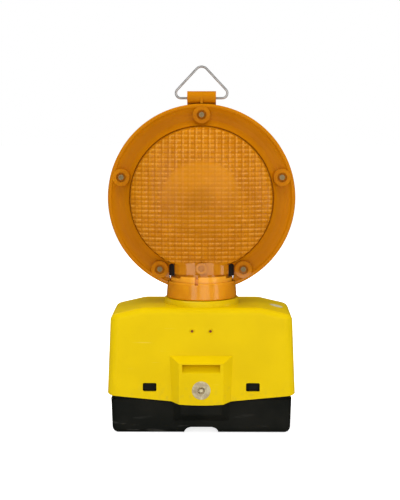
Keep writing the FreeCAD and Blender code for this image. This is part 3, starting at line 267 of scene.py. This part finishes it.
# ---------------------------------------------------------------------------------------------
# Strike plate and its rivets, the lock's tongue and the neck's snap ring: pressed from
# zinc-plated steel sheet, with a faint spangle. The plate is riveted to the tub.
# ---------------------------------------------------------------------------------------------
zinc = Finish("zinc_plate", (0.55, 0.56, 0.57), 0.35, Metallic=1.0)
zinc_spangle = zinc.cells(0.0025, output="Color")
zinc_cloud = zinc.noise(0.006)
zinc.set("Base Color", zinc.blend(zinc_cloud, (0.46, 0.46, 0.47), (0.64, 0.64, 0.63)))
zinc.set("Roughness", 0.28 + zinc_cloud * 0.2)
zinc.bump(zinc_spangle, 0.00003)
zinc.dress("strike_plate", "strike_rivets", "lock_tongue", "retaining_ring")

# ---------------------------------------------------------------------------------------------
# Batteries: two square lantern batteries in printed card sleeves, dark blue with a plain pale
# band, under black moulded caps. Coil springs on top press on the lamp's brass contacts.
# ---------------------------------------------------------------------------------------------
BAND_FOOT, BAND_TOP = 0.0715, 0.0847
LINE_FOOT, LINE_TOP = 0.0660, 0.0685
BAND_EDGE = 0.0007
LINE_EDGE = 0.0005

sleeve = Finish("battery_sleeve", (0.02, 0.05, 0.16), 0.4, Coat_Weight=0.3)
sleeve_z = sleeve.axes()[2]
band_below = sleeve_z.step(BAND_TOP - BAND_EDGE, BAND_TOP, 1, 0)
sleeve_band = sleeve_z.step(BAND_FOOT, BAND_FOOT + BAND_EDGE) * band_below
line_below = sleeve_z.step(LINE_TOP - LINE_EDGE, LINE_TOP, 1, 0)
sleeve_line = sleeve_z.step(LINE_FOOT, LINE_FOOT + LINE_EDGE) * line_below
sleeve_wear = sleeve.noise(0.005, 6).step(0.62, 0.7)
sleeve_print = sleeve.blend(sleeve_band.larger(sleeve_line), (0.018, 0.045, 0.15), (0.62, 0.60, 0.52))
sleeve.set("Base Color", sleeve.blend(sleeve_wear * 0.35, sleeve_print, (0.35, 0.33, 0.28)))
sleeve.set("Roughness", 0.35 + sleeve_wear * 0.3)
sleeve.bump(sleeve.noise(0.012), 0.0003)
sleeve.dress("battery_left", "battery_right")

cap_finish = Finish("battery_cap_black", (0.03, 0.03, 0.03), 0.5)
cap_cloud = cap_finish.noise(0.02)
cap_finish.set("Base Color", cap_finish.blend(cap_cloud, (0.022, 0.022, 0.022), (0.045, 0.044, 0.042)))
cap_finish.set("Roughness", 0.42 + cap_cloud * 0.2)
cap_finish.bump(cap_finish.noise(0.0006), 0.00008)
cap_finish.dress("battery_caps")

spring_finish = Finish("spring_nickel", (0.6, 0.58, 0.54), 0.25, Metallic=1.0)
spring_cloud = spring_finish.noise(0.003)
spring_finish.set("Base Color", spring_finish.blend(spring_cloud, (0.5, 0.48, 0.44), (0.7, 0.68, 0.64)))
spring_finish.set("Roughness", 0.2 + spring_cloud * 0.2)
spring_finish.dress("battery_springs")

# ---------------------------------------------------------------------------------------------
# Hood: one yellow polyethylene moulding that slides down over the tub and locks to it. The skin
# is nearly smooth, with faint flow marks, fine rub marks and patchy darker marks near the sill.
# ---------------------------------------------------------------------------------------------
FOOT_DARK_LOW, FOOT_DARK_HIGH = 0.030, 0.062

hood_finish = Finish("hood_yellow", (0.80, 0.555, 0.0), 0.32, Specular_IOR_Level=0.08)
hood_z = hood_finish.axes()[2]
hood_cloud = hood_finish.noise(0.045, 3)
hood_flow = hood_finish.noise(0.012, 4, stretch=(1, 1, 0.35))
hood_rub = hood_finish.noise(0.0035, 6, stretch=(0.1, 0.1, 1), turn=(0, 0.9, 0.3)).step(0.66, 0.74)
# Patchy darker marks near the sill, fading out higher up.
hood_foot_darkening = hood_finish.noise(0.006, 5).step(0.5, 0.8) * hood_z.step(FOOT_DARK_LOW, FOOT_DARK_HIGH, 1, 0)
hood_tone = hood_finish.blend(hood_cloud.step(0.3, 0.7), (0.735, 0.505, 0.0), (0.785, 0.545, 0.0))
hood_worn = hood_finish.blend(hood_rub * 0.22, hood_tone, (0.90, 0.72, 0.18))
hood_finish.set("Base Color", hood_finish.blend(hood_foot_darkening * 0.3, hood_worn, (0.36, 0.27, 0.05)))
hood_finish.set("Roughness", 0.28 + hood_flow * 0.1 + hood_rub * 0.2 + hood_foot_darkening * 0.2)
hood_finish.bump(hood_flow * 2 + hood_finish.noise(0.0009) * 0.4, 0.00012)
hood_finish.dress("hood")

# ---------------------------------------------------------------------------------------------
# Pilot lights and dusk sensor: two dark red light guides behind dimples in the hood's brow, and
# a frosted window on the right shoulder with the photocell under it.
# ---------------------------------------------------------------------------------------------
pilot = Finish("pilot_guide", (0.20, 0.03, 0.015), 0.2, Coat_Weight=0.5)
pilot_cloud = pilot.noise(0.002)
pilot.set("Base Color", pilot.blend(pilot_cloud, (0.13, 0.02, 0.01), (0.30, 0.05, 0.02)))
pilot.dress("pilot_lights")

window_finish = Finish("sensor_frosted", (0.72, 0.66, 0.42), 0.4)
window_cloud = window_finish.noise(0.003)
window_finish.set("Base Color", window_finish.blend(window_cloud, (0.66, 0.60, 0.34), (0.80, 0.76, 0.55)))
window_finish.set("Roughness", 0.3 + window_cloud * 0.2)
window_finish.bump(window_finish.noise(0.0006), 0.0001)
window_finish.dress("sensor_window")

# ---------------------------------------------------------------------------------------------
# Lock: a cam lock of plated die-cast zinc. The bezel is turned, the core has a round keyway
# with a centre pin, and a hex nut holds it in the hood's grip pad.
# ---------------------------------------------------------------------------------------------
LOCK_HEIGHT = 0.045
TURNING_RATE = 14000

lock_finish = Finish("lock_plating", (0.50, 0.44, 0.38), 0.35, Metallic=0.5)
lock_x, _, lock_z = lock_finish.axes()
lock_rise = lock_z - LOCK_HEIGHT
lock_radius = (lock_x ** 2 + lock_rise * lock_rise) ** 0.5
lock_turning = (lock_radius * TURNING_RATE).sine()
lock_tarnish = lock_finish.noise(0.004, 5)
lock_finish.set("Base Color", lock_finish.blend(lock_tarnish.step(0.35, 0.65),
                                                (0.66, 0.53, 0.33), (0.92, 0.82, 0.54)))
lock_finish.set("Roughness", 0.3 + lock_tarnish * 0.25)
lock_finish.bump(lock_turning * 0.5 + lock_tarnish, 0.00005)
lock_finish.dress("lock_housing", "lock_nut", "lock_core")

# ---------------------------------------------------------------------------------------------
# Screws: small cross-head steel screws, yellow-passivated and dulled, in the lens flange, the
# contact carrier, the circuit board and the lock's tongue.
# ---------------------------------------------------------------------------------------------
screw_finish = Finish("screw_passivated", (0.42, 0.38, 0.30), 0.35, Metallic=0.6)
screw_cloud = screw_finish.noise(0.002, 5)
screw_finish.set("Base Color", screw_finish.blend(screw_cloud, (0.20, 0.13, 0.045), (0.46, 0.36, 0.18)))
screw_finish.set("Roughness", 0.26 + screw_cloud * 0.3)
screw_finish.bump(screw_cloud, 0.00006)
screw_finish.dress("lens_screws", "carrier_screws", "board_screws", "tongue_screw")

# ---------------------------------------------------------------------------------------------
# Contact carrier: a grey moulded plate under the hood's roof, with brass plates that meet the
# battery springs. The same grey plastic holds the light board in the neck.
# ---------------------------------------------------------------------------------------------
carrier_finish = Finish("carrier_grey", (0.16, 0.16, 0.16), 0.5)
carrier_cloud = carrier_finish.noise(0.02)
carrier_tone = carrier_finish.blend(carrier_cloud, (0.13, 0.13, 0.13), (0.20, 0.20, 0.19))
carrier_finish.set("Base Color", carrier_tone)
carrier_finish.bump(carrier_finish.noise(0.0007), 0.0001)
carrier_finish.dress("contact_carrier", "board_cradle")

brass = Finish("contact_brass", (0.75, 0.53, 0.2), 0.25, Metallic=1.0)
brass_brush = brass.noise(0.0008, 3, stretch=(0.05, 1, 1))
brass.set("Base Color", brass.blend(brass.noise(0.008), (0.62, 0.42, 0.14), (0.82, 0.60, 0.26)))
brass.set("Roughness", 0.2 + brass_brush * 0.25)
brass.bump(brass_brush, 0.00004)
brass.dress("contact_plates")

# ---------------------------------------------------------------------------------------------
# Circuit boards: green solder mask over copper tracks, one upright behind the hood's front wall
# and one up the middle of the lens. They carry the chips, capacitors, coil and resistors.
# ---------------------------------------------------------------------------------------------
board = Finish("board_green", (0.015, 0.13, 0.05), 0.3, Coat_Weight=0.4)
board_net = board.cells(0.0035, "DISTANCE_TO_EDGE", stretch=(1, 0.05, 1))
board_tracks = abs(board_net - 0.22).step(0.05, 0.09, 1, 0)
board_pads = board.cells(0.004, stretch=(1, 0.05, 1)).step(0.16, 0.2, 1, 0)
board_mask = board.blend(board_tracks, (0.010, 0.10, 0.035), (0.03, 0.22, 0.09))
board.set("Base Color", board.blend(board_pads, board_mask, (0.62, 0.60, 0.52)))
board.set("Roughness", 0.25 + board_pads * 0.2)
board.bump(board_tracks + board_pads, 0.0001)
board.dress("driver_board", "led_board")

epoxy = Finish("chip_epoxy", (0.018, 0.018, 0.018), 0.45)
epoxy_cloud = epoxy.noise(0.0015)
epoxy.set("Base Color", epoxy.blend(epoxy_cloud, (0.013, 0.013, 0.013), (0.03, 0.03, 0.032)))
epoxy.bump(epoxy.noise(0.0003), 0.00005)
epoxy.dress("driver_chips", "led_resistors", "dusk_sensor")

can = Finish("capacitor_can", (0.62, 0.62, 0.64), 0.3, Metallic=1.0)
can_brush = can.noise(0.0005, 2, stretch=(1, 0.1, 1))
can.set("Base Color", can.blend(can.noise(0.004), (0.52, 0.52, 0.55), (0.72, 0.72, 0.73)))
can.set("Roughness", 0.25 + can_brush * 0.2)
can.dress("driver_capacitors")

WINDING_RATE = 12000

coil = Finish("coil_winding", (0.55, 0.22, 0.08), 0.3, Metallic=0.8)
coil_y = coil.axes()[1]
coil_turns = (coil_y * WINDING_RATE).sine()
# The gaps between the turns are painted dark copper: painted shade.
coil.set("Base Color", coil.blend(coil_turns.step(-0.8, 0.6), (0.22, 0.07, 0.02), (0.68, 0.30, 0.11)))
coil.bump(coil_turns, 0.0002)
coil.dress("driver_coil")


def lead_skin(name, dark, light, piece):
    """Soft vinyl insulation on one lead."""
    lead = Finish(name, dark, 0.45)
    lead.set("Base Color", lead.blend(lead.noise(0.004), dark, light))
    lead.bump(lead.noise(0.001), 0.0001)
    lead.dress(piece)


lead_skin("lead_red", (0.36, 0.02, 0.015), (0.52, 0.04, 0.03), "socket_lead")
lead_skin("lead_grey", (0.22, 0.22, 0.22), (0.34, 0.34, 0.34), "sensor_lead")

RIB_RATE = 9000

knob = Finish("switch_knob", (0.72, 0.72, 0.70), 0.4)
knob_ribs = (knob.axes()[0] * RIB_RATE).sine()
# The troughs between the ribs are painted a darker grey: painted shade.
knob.set("Base Color", knob.blend(knob_ribs.step(-0.2, 0.9), (0.60, 0.60, 0.57), (0.78, 0.78, 0.76)))
knob.bump(knob_ribs, 0.0001)
knob.dress("mode_switch_knob")

# ---------------------------------------------------------------------------------------------
# Seals: black rubber. A flat ring lets the collar turn on the hood, and a thin gasket lies in
# the seam between the two lens halves and shows through the slots beside the neck.
# ---------------------------------------------------------------------------------------------
rubber = Finish("seal_rubber", (0.020, 0.017, 0.014), 0.7)
rubber_cloud = rubber.noise(0.003)
rubber.set("Base Color", rubber.blend(rubber_cloud, (0.014, 0.012, 0.010), (0.035, 0.030, 0.025)))
rubber.set("Roughness", 0.6 + rubber_cloud * 0.25)
rubber.bump(rubber.noise(0.0006), 0.0001)
rubber.dress("swivel_seal", "lens_seal")

# ---------------------------------------------------------------------------------------------
# Bayonet collar: one moulding in translucent amber polycarbonate, a flared barrel with a lower
# ring and three arms inside it. It clamps the two lens halves round the hood's spigot.
# ---------------------------------------------------------------------------------------------
RIM_HIGHLIGHT_FOOT, RIM_HIGHLIGHT_TOP = 0.1445, 0.1475

collar = Finish("collar_amber", (0.60, 0.215, 0.003), 0.2, Subsurface_Weight=0.15, Coat_Weight=0.1)
collar.shader.inputs["Subsurface Radius"].default_value = (0.006, 0.003, 0.0006)
collar_cloud = collar.noise(0.02, 3)
collar_z = collar.axes()[2]
# The collar's top rim is painted a paler amber: a painted highlight where light falls on its upper ledge.
collar_rim_highlight = collar_z.step(RIM_HIGHLIGHT_FOOT, RIM_HIGHLIGHT_TOP)
collar_tone = collar.blend(collar_cloud.step(0.3, 0.7), (0.66, 0.235, 0.002), (0.78, 0.295, 0.003))
collar.set("Base Color", collar.blend(collar_rim_highlight, collar_tone, (0.90, 0.38, 0.02)))
collar.set("Roughness", 0.14 + collar_cloud * 0.12)
collar.bump(collar.noise(0.010, 3, stretch=(1, 1, 0.3)), 0.0003)
collar.dress("bayonet_collar")

# ---------------------------------------------------------------------------------------------
# Lens halves: front and rear mouldings in clear amber polycarbonate, screwed together at five
# bosses. The flange is thick and looks deep in colour; over the dome the wall is thin and lets
# the light source show faintly.
# ---------------------------------------------------------------------------------------------
HEAD_HEIGHT = 0.2287
DOME_EDGE = 0.0690
DOME_FADE = 0.001
DOME_FOOT = (0.0098, 0.0125)
CHANNEL_START = (0.0730, 0.0790)
CHANNEL_END = (0.0830, 0.0880)
GROOVE_RADIUS = 0.0708
NECK_TOP = 0.1663
NECK_HALF_WIDTH = 0.026
NECK_ROOT = (0.150, 0.157)
NECK_EDGE = 0.0004

lens = Finish("lens_amber", (0.60, 0.215, 0.003), 0.25, Subsurface_Weight=0.12, Specular_IOR_Level=0.05)
lens.shader.inputs["Subsurface Radius"].default_value = (0.008, 0.004, 0.0008)
lens_x, lens_y, lens_z = lens.axes()
lens_rise = lens_z - HEAD_HEIGHT
lens_radius = (lens_x * lens_x + lens_rise * lens_rise) ** 0.5
lens_cloud = lens.noise(0.03, 3)
# The dished channel in the flange is painted a darker amber: painted shade in the recess.
lens_channel_shade = lens_radius.step(*CHANNEL_START) * lens_radius.step(*CHANNEL_END, 1, 0)
# A thin dark line at the groove round the dome: painted shadow in the groove.
lens_groove_shadow = abs(lens_radius - GROOVE_RADIUS).step(0.0005, 0.0010, 1, 0)
neck_span = abs(lens_x).step(NECK_HALF_WIDTH, NECK_HALF_WIDTH + NECK_EDGE, 1, 0)
neck_head = neck_span * lens_z.step(NECK_TOP, NECK_TOP + NECK_EDGE, 1, 0)
lens_neck = neck_head.larger(lens_z.step(*NECK_ROOT, 1, 0))
lens_tone = lens.blend(lens_channel_shade, (0.545, 0.182, 0.0005), (0.50, 0.162, 0.0005))
lens_tone = lens.blend(lens_groove_shadow * 0.4, lens_tone, (0.22, 0.065, 0.001))
lens_tone = lens.blend(lens_neck, lens_tone, (0.58, 0.205, 0.004))
lens.set("Coat Weight", lens_neck)
lens.set("Base Color", lens.blend(lens_cloud.step(0.35, 0.7) * 0.3, lens_tone, (0.60, 0.21, 0.002)))
lens.set("Roughness", 0.22 + lens_cloud * 0.12)
lens_disc = lens_radius.step(DOME_EDGE - DOME_FADE, DOME_EDGE + DOME_FADE, 1, 0)
lens_dome = lens_disc * abs(lens_y).step(*DOME_FOOT)
lens.set("Alpha", 1 - lens_dome * (1 - neck_head) * 0.7)
lens.bump(lens.noise(0.0015) + lens_cloud * 2, 0.0001)
lens.dress("front_lens", "rear_lens")

# ---------------------------------------------------------------------------------------------
# Prisms: the outer skin of each lens half, moulded with rows of small pillows that break the
# light up. They are shallower over the middle disc, and leave room for the neck.
# ---------------------------------------------------------------------------------------------
PRISM_WIDTH = 0.0065
PRISM_HEIGHT = 0.00456
PRISM_COLUMNS = 24
PRISM_ROWS = 33
PRISM_STEPS = 4
PRISM_FIELD = 0.0718
DOME_APEX = 0.036
DOME_CURVE = 0.180
ROUNDING_START = 0.0656
ROUNDING_CENTRE = (0.064407, 0.018744)
ROUNDING_RADIUS = 0.005
MIDDLE_DISC = 0.038
DISC_FADE = 0.003
PILLOW_DEPTH = 0.0008
DISC_DEPTH_LOSS = 0.0002
SHEET_THICKNESS = 0.0005
SHEET_LIFT = 0.0001
SHEET_CORNERS = 72
NECK_CLEARANCE = 0.0004
WELD = 1e-6

prism = Finish("prism_amber", (0.80, 0.33, 0.010), 0.16, Subsurface_Weight=0.1, Specular_IOR_Level=0.2)
prism.shader.inputs["Subsurface Radius"].default_value = (0.004, 0.002, 0.0005)
prism_x, _, prism_z = prism.axes()
prism_rise = prism_z - HEAD_HEIGHT
prism_radius = (prism_x * prism_x + prism_rise * prism_rise) ** 0.5
prism_cloud = prism.noise(0.025, 3)
prism_middle = prism_radius.step(MIDDLE_DISC - DISC_FADE, MIDDLE_DISC + DISC_FADE, 1, 0)
prism_column = prism_x / PRISM_WIDTH
prism_row = prism_rise / PRISM_HEIGHT
prism_across = prism_column.worked("FRACT", prism_column)
prism_up = prism_row.worked("FRACT", prism_row)
prism_place = prism.node("CombineXYZ", {}, {0: prism_column.worked("FLOOR", prism_column),
                                            1: prism_row.worked("FLOOR", prism_row)})
prism_chance = prism.node("TexWhiteNoise", {"noise_dimensions": "2D"}, {"Vector": prism_place})
prism_flake = prism.noise(0.0016, 2, stretch=(1, 1, 0.45))
prism_top = prism_rise.step(0.010, 0.060)
prism_low = prism_rise.step(-0.055, -0.005, 1, 0)
# Dark lines along the valleys between the pillows: painted shade.
prism_groove_shade = (abs(prism_across - 0.5).step(0.34, 0.50) * (0.60 + prism_top * 0.25)).larger(
    abs(prism_up - 0.5).step(0.26, 0.48) * (0.50 + prism_low * 0.20))
# Pale lines on the pillows' flanks, stronger towards the top: painted highlights.
prism_flank_highlight = (abs(prism_across - 0.28).step(0.04, 0.20, 1, 0) * (0.35 + prism_top * 0.65)).larger(
    abs(prism_up - 0.64).step(0.06, 0.26, 1, 0) * prism_chance.step(0.0, 0.9, 0.25, 1))
prism_flank_highlight = prism_flank_highlight * prism_flake.step(0.36, 0.60, 0.2, 1)
prism_tone = prism.blend(prism_cloud.step(0.35, 0.7), (0.64, 0.222, 0.002), (0.54, 0.176, 0.001))
prism_tone = prism.blend(prism_flank_highlight * (1 - prism_middle * 0.35) * 0.8, prism_tone, (0.86, 0.39, 0.055))
prism_tone = prism.blend(prism_flake.step(0.50, 0.66) * (1 - prism_middle * 0.5) * 0.35, prism_tone,
                         (0.30, 0.085, 0.001))
prism_tone = prism.blend(prism_groove_shade * (1 - prism_middle * 0.2) * 0.8, prism_tone, (0.38, 0.105, 0.001))
# The middle disc is painted a brighter orange, most towards its top: painted light.
prism_middle_painted_light = prism_middle * prism_rise.step(-0.010, 0.025, 0.15, 1)
prism.set("Base Color", prism.blend(prism_middle_painted_light * 0.5, prism_tone, (0.90, 0.34, 0.006)))
prism.set("Roughness", 0.14 + prism_cloud * 0.1)
prism.set("Alpha", 0.94 - prism_middle * 0.12 - prism_radius.step(0.006, 0.018, 0.14, 0))


def dome_skin(along):
    """Distance from the axis, depth in front of the seam and slope, so far along the skin."""
    if along < ROUNDING_START:
        slope = math.asin(along / DOME_CURVE)
        return along, DOME_APEX - DOME_CURVE * (1 - math.cos(slope)), slope
    centre, depth = ROUNDING_CENTRE
    first_slope = math.asin((ROUNDING_START - centre) / ROUNDING_RADIUS)
    slope = first_slope + (along - ROUNDING_START) / ROUNDING_RADIUS
    return centre + ROUNDING_RADIUS * math.sin(slope), depth + ROUNDING_RADIUS * math.cos(slope), slope


def pillow_height(across, up, along):
    """How far the relief stands out at a point of the flat sheet."""
    bulge = abs(math.sin(math.pi * across / PRISM_WIDTH))
    bulge *= abs(math.sin(math.pi * up / PRISM_HEIGHT))
    middle = min(1, max(0, (MIDDLE_DISC + 0.002 - along) / 0.004))
    column, row = math.floor(across / PRISM_WIDTH), math.floor(up / PRISM_HEIGHT)
    uneven = math.sin(column * 12.9898 + row * 78.233) * 0.5 + 0.5
    return (PILLOW_DEPTH - DISC_DEPTH_LOSS * middle) * (0.7 + 0.3 * uneven) * bulge ** 0.8


def slice_sheet(sheet, geometry, place, out, clear):
    """Cut part of the sheet along a plane, and drop what lies beyond it if clear is set."""
    bmesh.ops.bisect_plane(sheet, geom=geometry, plane_co=place, plane_no=out,
                           clear_outer=clear, dist=WELD)


def trim_sheet(sheet):
    """Cut the flat sheet round, then cut out the room of the neck."""
    for corner in range(SHEET_CORNERS):
        turn = math.tau * corner / SHEET_CORNERS
        out = Vector((math.cos(turn), math.sin(turn), 0))
        everything = sheet.verts[:] + sheet.edges[:] + sheet.faces[:]
        slice_sheet(sheet, everything, out * PRISM_FIELD, out, True)
    for way in (-1, 1):
        edge = Vector((way * NECK_HALF_WIDTH, 0, 0))
        everything = sheet.verts[:] + sheet.edges[:] + sheet.faces[:]
        slice_sheet(sheet, everything, edge, edge.normalized(), False)
    reach = NECK_HALF_WIDTH + WELD
    middle = [vert for vert in sheet.verts if abs(vert.co.x) <= reach]
    middle += [edge for edge in sheet.edges if all(abs(vert.co.x) <= reach for vert in edge.verts)]
    middle += [face for face in sheet.faces if all(abs(vert.co.x) <= reach for vert in face.verts)]
    neck_line = Vector((0, NECK_TOP - HEAD_HEIGHT - NECK_CLEARANCE, 0))
    slice_sheet(sheet, middle, neck_line, Vector((0, -1, 0)), True)


def prism_sheet(name, side):
    """Make one lens half's relief: a trimmed sheet laid over the dome, with a back."""
    sheet = bmesh.new()
    across, up = PRISM_COLUMNS * PRISM_STEPS, PRISM_ROWS * PRISM_STEPS
    bmesh.ops.create_grid(sheet, x_segments=across, y_segments=up, size=0.5)
    size = (PRISM_COLUMNS * PRISM_WIDTH, PRISM_ROWS * PRISM_HEIGHT, 1)
    bmesh.ops.scale(sheet, verts=sheet.verts, vec=size)
    trim_sheet(sheet)
    for vert in sheet.verts:
        along = max(WELD, math.hypot(vert.co.x, vert.co.y))
        lift = SHEET_LIFT + pillow_height(vert.co.x, vert.co.y, along)
        radius, depth, slope = dome_skin(along)
        spread = (radius + lift * math.sin(slope)) / along
        vert.co = (vert.co.x * spread, vert.co.y * spread, depth + lift * math.cos(slope))
    bmesh.ops.solidify(sheet, geom=sheet.faces[:], thickness=SHEET_THICKNESS)
    bmesh.ops.rotate(sheet, verts=sheet.verts, matrix=Matrix.Rotation(math.radians(90), 3, "X"))
    if side > 0:
        bmesh.ops.rotate(sheet, verts=sheet.verts, matrix=Matrix.Rotation(math.pi, 3, "Z"))
    bmesh.ops.translate(sheet, verts=sheet.verts, vec=(0, 0, HEAD_HEIGHT))
    bmesh.ops.recalc_face_normals(sheet, faces=sheet.faces)
    for face in sheet.faces:
        face.smooth = True
    data = bpy.data.meshes.new(name)
    sheet.to_mesh(data)
    data.materials.append(prism.material)
    piece = bpy.data.objects.new(name, data)
    bpy.context.scene.collection.objects.link(piece)
    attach(piece, "head")


prism_sheet("front_prisms", -1)
prism_sheet("rear_prisms", 1)

# ---------------------------------------------------------------------------------------------
# Light source: clear LED domes in dark moulded holders, on the board up the lens's middle.
# ---------------------------------------------------------------------------------------------
diode = Finish("diode_clear", (0.85, 0.78, 0.5), 0.12, Coat_Weight=0.6)
diode_cloud = diode.noise(0.0012)
diode.set("Base Color", diode.blend(diode_cloud, (0.75, 0.66, 0.36), (0.92, 0.88, 0.66)))
diode.dress("leds")

holder_finish = Finish("holder_black", (0.03, 0.022, 0.015), 0.5)
holder_cloud = holder_finish.noise(0.003)
holder_tone = holder_finish.blend(holder_cloud, (0.02, 0.016, 0.012), (0.05, 0.04, 0.03))
holder_finish.set("Base Color", holder_tone)
holder_finish.bump(holder_finish.noise(0.0006), 0.0001)
holder_finish.dress("led_holders")

# ---------------------------------------------------------------------------------------------
# Hanger: one length of bright zinc-plated spring wire, bent to a triangle and sprung into the
# lug at the top of the rear lens.
# ---------------------------------------------------------------------------------------------
wire = Finish("hanger_wire", (0.42, 0.40, 0.37), 0.28, Metallic=0.6)
wire_drawn = wire.noise(0.0025, 2)
wire_dull = wire.noise(0.010, 3).step(0.35, 0.7)
wire.set("Base Color", wire.blend(wire_dull, (0.46, 0.44, 0.42), (0.66, 0.64, 0.61)))
wire.set("Roughness", 0.22 + wire_dull * 0.12)
wire.bump(wire_drawn, 0.00002)
wire.dress("hanger")
